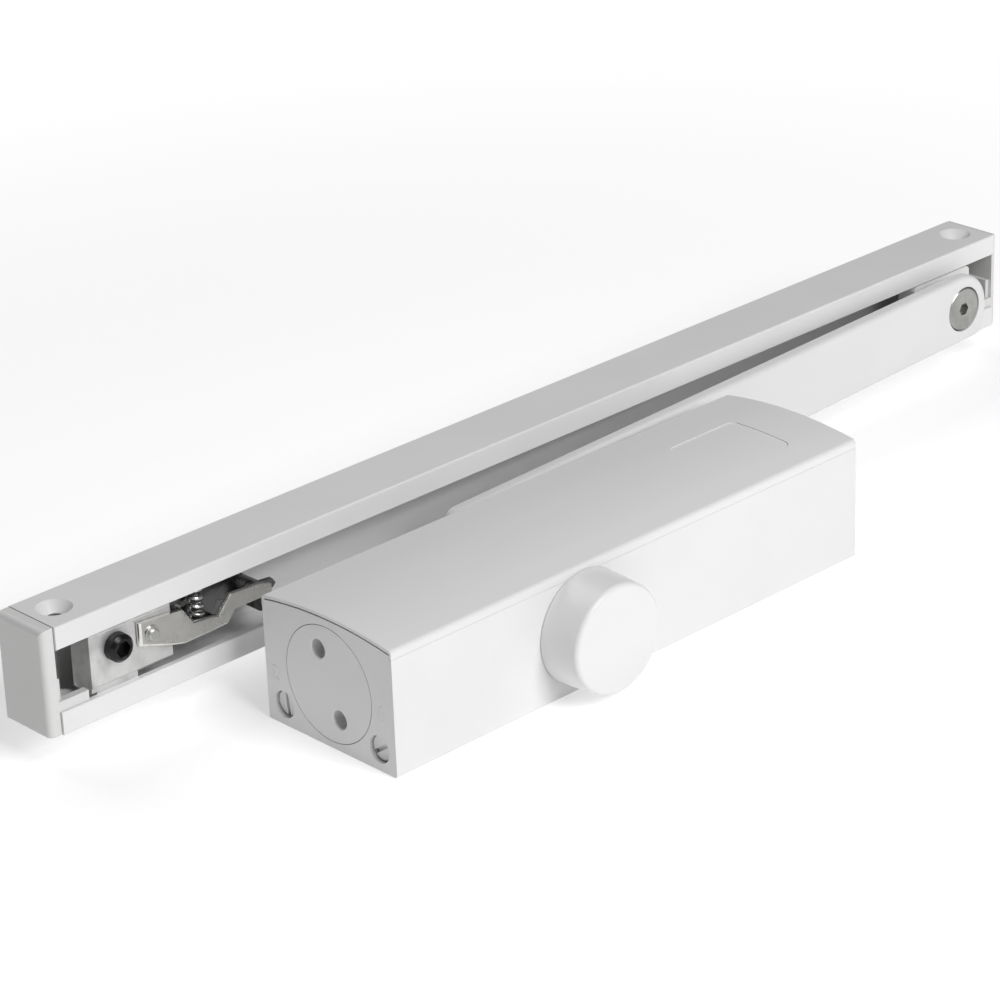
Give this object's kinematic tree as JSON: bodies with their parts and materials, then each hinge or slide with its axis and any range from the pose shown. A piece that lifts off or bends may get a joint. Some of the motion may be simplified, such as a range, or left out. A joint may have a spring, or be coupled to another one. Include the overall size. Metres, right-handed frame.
{
  "type": "slide arm door closer",
  "caption": "Surface door closer with a boxy body, round side cap, flat arm and a slide rail with a hold-open catch.",
  "frame": {"origin": "on the closer's mounting plane, the door's face, straight below the spindle axis and at mid-width of the body", "axes": "+X from the valve end along the body and the rail, +Y from the capped side towards the rail, +Z away from the door"},
  "size_m": [0.4664, 0.1211, 0.0501],
  "materials": {
    "white_casting": "white powder coat on an aluminium casting",
    "white_cover": "white moulded cover, satin",
    "white_cap": "white moulded cap, satin",
    "white_plug": "white painted screwed plug",
    "white_rail": "white powder coat on an aluminium extrusion",
    "white_arm": "white powder coat on steel bar",
    "grey_end_cap": "off-white moulded end cap",
    "spindle_steel": "hardened and ground steel",
    "piston_steel": "machined piston",
    "zinc_steel": "bright zinc-plated steel",
    "bright_steel": "bright folded steel",
    "black_steel": "black oxide screw",
    "dark_steel": "dark plate",
    "spring_steel": "drawn spring wire",
    "seal_rubber": "black nitrile rubber",
    "bush_brass": "plain bush",
    "slider_plastic": "low-friction moulded block",
    "roller_plastic": "black moulded roller",
    "catch_metal": "white painted die-cast block"
  },
  "bodies": {
    "closer_body": {"closer_housing": "white_casting", "housing_cover": "white_cover", "end_plug_near": "white_plug", "end_plug_far": "white_plug", "plug_seals": "seal_rubber", "spindle_bearing_front": "zinc_steel", "spindle_bearing_back": "zinc_steel", "gland_nut_front": "zinc_steel", "gland_nut_back": "zinc_steel", "spindle_seals": "seal_rubber", "spindle_cap": "white_cap", "closing_spring": "spring_steel", "spring_seat": "zinc_steel"},
    "spindle_and_arm": {"pinion_spindle": "spindle_steel", "slide_arm": "white_arm", "arm_screw": "black_steel", "pivot_bush": "bush_brass"},
    "piston": {"rack_piston": "piston_steel", "piston_seals": "seal_rubber", "check_ball": "spindle_steel", "check_ring": "zinc_steel"},
    "closing_valve": {"closing_valve_screw": "white_plug", "closing_valve_seal": "seal_rubber"},
    "latching_valve": {"latching_valve_screw": "white_plug", "latching_valve_seal": "seal_rubber"},
    "slider": {"slide_block": "slider_plastic", "pivot_screw": "zinc_steel"},
    "rail": {"rail_profile": "white_rail", "rail_end_cap_left": "grey_end_cap", "rail_end_cap_right": "grey_end_cap", "catch_block": "catch_metal", "catch_clamp_screw": "black_steel", "lever_pin": "zinc_steel", "catch_spring": "spring_steel", "catch_bracket": "dark_steel"},
    "lever": {"catch_lever": "bright_steel", "roller_pin": "zinc_steel"},
    "roller": {"catch_roller": "roller_plastic"}
  },
  "joints": [
    {"name": "spindle_turn", "type": "hinge", "parent": "closer_body", "child": "spindle_and_arm", "pos_m": [0, 0, 0.0225], "axis": [0, 1, 0], "range_deg": [0, 150], "stiffness_Nm_per_rad": 4, "springref_deg": -85.94},
    {"name": "piston_slide", "type": "slide", "parent": "closer_body", "child": "piston", "axis": [1, 0, 0], "range_m": [0, 0.021], "deforming": ["closing_spring"]},
    {"name": "closing_valve_turn", "type": "hinge", "parent": "closer_body", "child": "closing_valve", "pos_m": [-0.0836, 0.0226, 0.00745], "axis": [1, 0, 0], "range_deg": [-180, 180]},
    {"name": "latching_valve_turn", "type": "hinge", "parent": "closer_body", "child": "latching_valve", "pos_m": [-0.0836, -0.0226, 0.00745], "axis": [1, 0, 0], "range_deg": [-180, 180]},
    {"name": "slider_pivot", "type": "hinge", "parent": "spindle_and_arm", "child": "slider", "pos_m": [0.27765, 0.0459, 0.03115], "axis": [0, 1, 0], "range_deg": [-60, 5]},
    {"name": "rail_slide", "type": "slide", "parent": "slider", "child": "rail", "axis": [1, 0, 0], "range_m": [0, 0.305]},
    {"name": "lever_swing", "type": "hinge", "parent": "rail", "child": "lever", "pos_m": [-0.1132, 0.0555, 0.03465], "axis": [0, -1, 0], "range_deg": [0, 5], "stiffness_Nm_per_rad": 0.5, "springref_deg": -28.65, "deforming": ["catch_spring"]},
    {"name": "roller_spin", "type": "hinge", "parent": "lever", "child": "roller", "pos_m": [-0.0655, 0.0555, 0.0288], "axis": [0, 1, 0], "continuous": true}
  ],
  "couplings": [
    {"joint": "piston_slide", "follows": "spindle_turn", "m_per_rad": 0.008}
  ]
}
